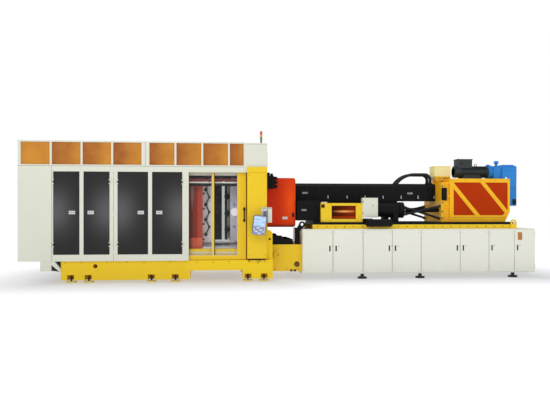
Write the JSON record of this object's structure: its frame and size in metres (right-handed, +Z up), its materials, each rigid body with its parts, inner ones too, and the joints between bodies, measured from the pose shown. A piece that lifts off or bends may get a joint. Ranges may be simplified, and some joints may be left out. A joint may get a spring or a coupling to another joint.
{
  "type": "injection molding machine",
  "caption": "Large two-platen plastic injection molding machine: cream housing with dark doors, yellow gate and bed, open mould area and a yellow and black injection unit on a base cabinet.",
  "frame": {"origin": "centre of the bounding box's bottom, on the floor", "axes": "+X from the clamp's tail to the drive, +Y from the operator's side to the rear, +Z up"},
  "size_m": [13.3, 3.28, 3.786],
  "materials": {
    "white_paint": "satin cream-white powder coat",
    "yellow_paint": "satin signal-yellow paint",
    "black_paint": "satin black paint",
    "orange_red_paint": "satin orange-red paint",
    "blue_paint": "satin blue paint",
    "pale_yellow_paint": "satin pale yellow paint",
    "ground_steel": "ground and oiled steel",
    "amber_glass": "amber tinted pane",
    "rust_glass": "orange-red tinted pane",
    "clear_glass": "clear polycarbonate pane",
    "black_rubber": "matte hose rubber",
    "panel_plastic": "matte light grey plastic",
    "lamp_lens": "glossy coloured lens"
  },
  "bodies": {
    "machine": {"clamp_bed": "yellow_paint", "bed_feet": "ground_steel", "tail_bracket": "white_paint", "housing_posts": "white_paint", "housing_rails": "white_paint", "tail_side_panels": "white_paint", "tail_end_wall": "white_paint", "upper_guards": "white_paint", "upper_panes": "amber_glass", "roof_ties": "white_paint", "rear_dark_panels": "black_paint", "rear_gate": "yellow_paint", "rear_gate_panes": "clear_glass", "columns": "yellow_paint", "column_top_boxes": "white_paint", "signal_lamp": "lamp_lens", "panel_arm": "white_paint", "fixed_platen": "orange_red_paint", "fixed_mould": "ground_steel", "tie_bars": "ground_steel", "platen_valves": "black_paint", "nozzle_guard": "orange_red_paint", "link_frame": "yellow_paint", "purge_tray": "black_paint", "base_plates": "white_paint", "base_uprights": "white_paint", "base_pads": "black_paint", "slide_rails": "yellow_paint"},
    "gate": {"gate_frame": "yellow_paint", "gate_panes": "clear_glass", "gate_handle": "black_paint"},
    "clamp_door_1_body": {"clamp_door_1": "black_paint"},
    "clamp_door_2_body": {"clamp_door_2": "black_paint"},
    "clamp_door_3_body": {"clamp_door_3": "black_paint"},
    "clamp_door_4_body": {"clamp_door_4": "black_paint"},
    "platen": {"moving_platen": "orange_red_paint", "moving_mould": "ground_steel"},
    "panel": {"control_panel": "panel_plastic"},
    "base_door_1_body": {"base_door_1": "white_paint"},
    "base_door_2_body": {"base_door_2": "white_paint"},
    "base_door_3_body": {"base_door_3": "white_paint"},
    "base_door_4_body": {"base_door_4": "white_paint"},
    "base_door_5_body": {"base_door_5": "white_paint"},
    "base_door_6_body": {"base_door_6": "white_paint"},
    "base_door_7_body": {"base_door_7": "white_paint"},
    "base_door_8_body": {"base_door_8": "white_paint"},
    "carriage": {"barrel": "ground_steel", "barrel_cover": "black_paint", "hydraulic_cylinders": "black_paint", "carriage_runners": "black_paint", "cylinder_guard": "yellow_paint", "carriage_panes": "rust_glass", "junction_box": "white_paint", "feed_casting": "yellow_paint", "hopper": "pale_yellow_paint", "drive_guard": "yellow_paint", "screw_motor": "black_paint", "gearbox": "blue_paint", "hoses": "black_rubber"}
  },
  "joints": [
    {"name": "gate_slide", "type": "slide", "parent": "machine", "child": "gate", "axis": [-1, 0, 0], "range_m": [0, 1.34]},
    {"name": "clamp_door_1_hinge", "type": "hinge", "parent": "machine", "child": "clamp_door_1_body", "pos_m": [-5.809, -1.3323, 1.7], "axis": [0, 0, -1], "range_deg": [0, 90]},
    {"name": "clamp_door_2_hinge", "type": "hinge", "parent": "machine", "child": "clamp_door_2_body", "pos_m": [-4.476, -1.3323, 1.7], "axis": [0, 0, 1], "range_deg": [0, 90]},
    {"name": "clamp_door_3_hinge", "type": "hinge", "parent": "machine", "child": "clamp_door_3_body", "pos_m": [-4.274, -1.3323, 1.7], "axis": [0, 0, -1], "range_deg": [0, 90]},
    {"name": "clamp_door_4_hinge", "type": "hinge", "parent": "machine", "child": "clamp_door_4_body", "pos_m": [-2.711, -1.3323, 1.7], "axis": [0, 0, 1], "range_deg": [0, 90]},
    {"name": "platen_slide", "type": "slide", "parent": "machine", "child": "platen", "axis": [1, 0, 0], "range_m": [-1.2, 0.07]},
    {"name": "panel_swivel", "type": "hinge", "parent": "machine", "child": "panel", "pos_m": [-0.665, -1.495, 1.66], "axis": [0, 0, 1], "range_deg": [0, 90]},
    {"name": "base_door_1_hinge", "type": "hinge", "parent": "machine", "child": "base_door_1_body", "pos_m": [0.362, -0.9003, 0.715], "axis": [0, 0, -1], "range_deg": [0, 90]},
    {"name": "base_door_2_hinge", "type": "hinge", "parent": "machine", "child": "base_door_2_body", "pos_m": [1.938, -0.9003, 0.715], "axis": [0, 0, 1], "range_deg": [0, 90]},
    {"name": "base_door_3_hinge", "type": "hinge", "parent": "machine", "child": "base_door_3_body", "pos_m": [1.962, -0.9003, 0.715], "axis": [0, 0, -1], "range_deg": [0, 90]},
    {"name": "base_door_4_hinge", "type": "hinge", "parent": "machine", "child": "base_door_4_body", "pos_m": [3.498, -0.9003, 0.715], "axis": [0, 0, 1], "range_deg": [0, 90]},
    {"name": "base_door_5_hinge", "type": "hinge", "parent": "machine", "child": "base_door_5_body", "pos_m": [3.522, -0.9003, 0.715], "axis": [0, 0, -1], "range_deg": [0, 90]},
    {"name": "base_door_6_hinge", "type": "hinge", "parent": "machine", "child": "base_door_6_body", "pos_m": [5.348, -0.9003, 0.715], "axis": [0, 0, 1], "range_deg": [0, 90]},
    {"name": "base_door_7_hinge", "type": "hinge", "parent": "machine", "child": "base_door_7_body", "pos_m": [6.058, -0.9003, 0.715], "axis": [0, 0, 1], "range_deg": [0, 90]},
    {"name": "base_door_8_hinge", "type": "hinge", "parent": "machine", "child": "base_door_8_body", "pos_m": [6.638, -0.9003, 0.715], "axis": [0, 0, 1], "range_deg": [0, 90]},
    {"name": "carriage_slide", "type": "slide", "parent": "machine", "child": "carriage", "axis": [1, 0, 0], "range_m": [0, 0.45]}
  ]
}
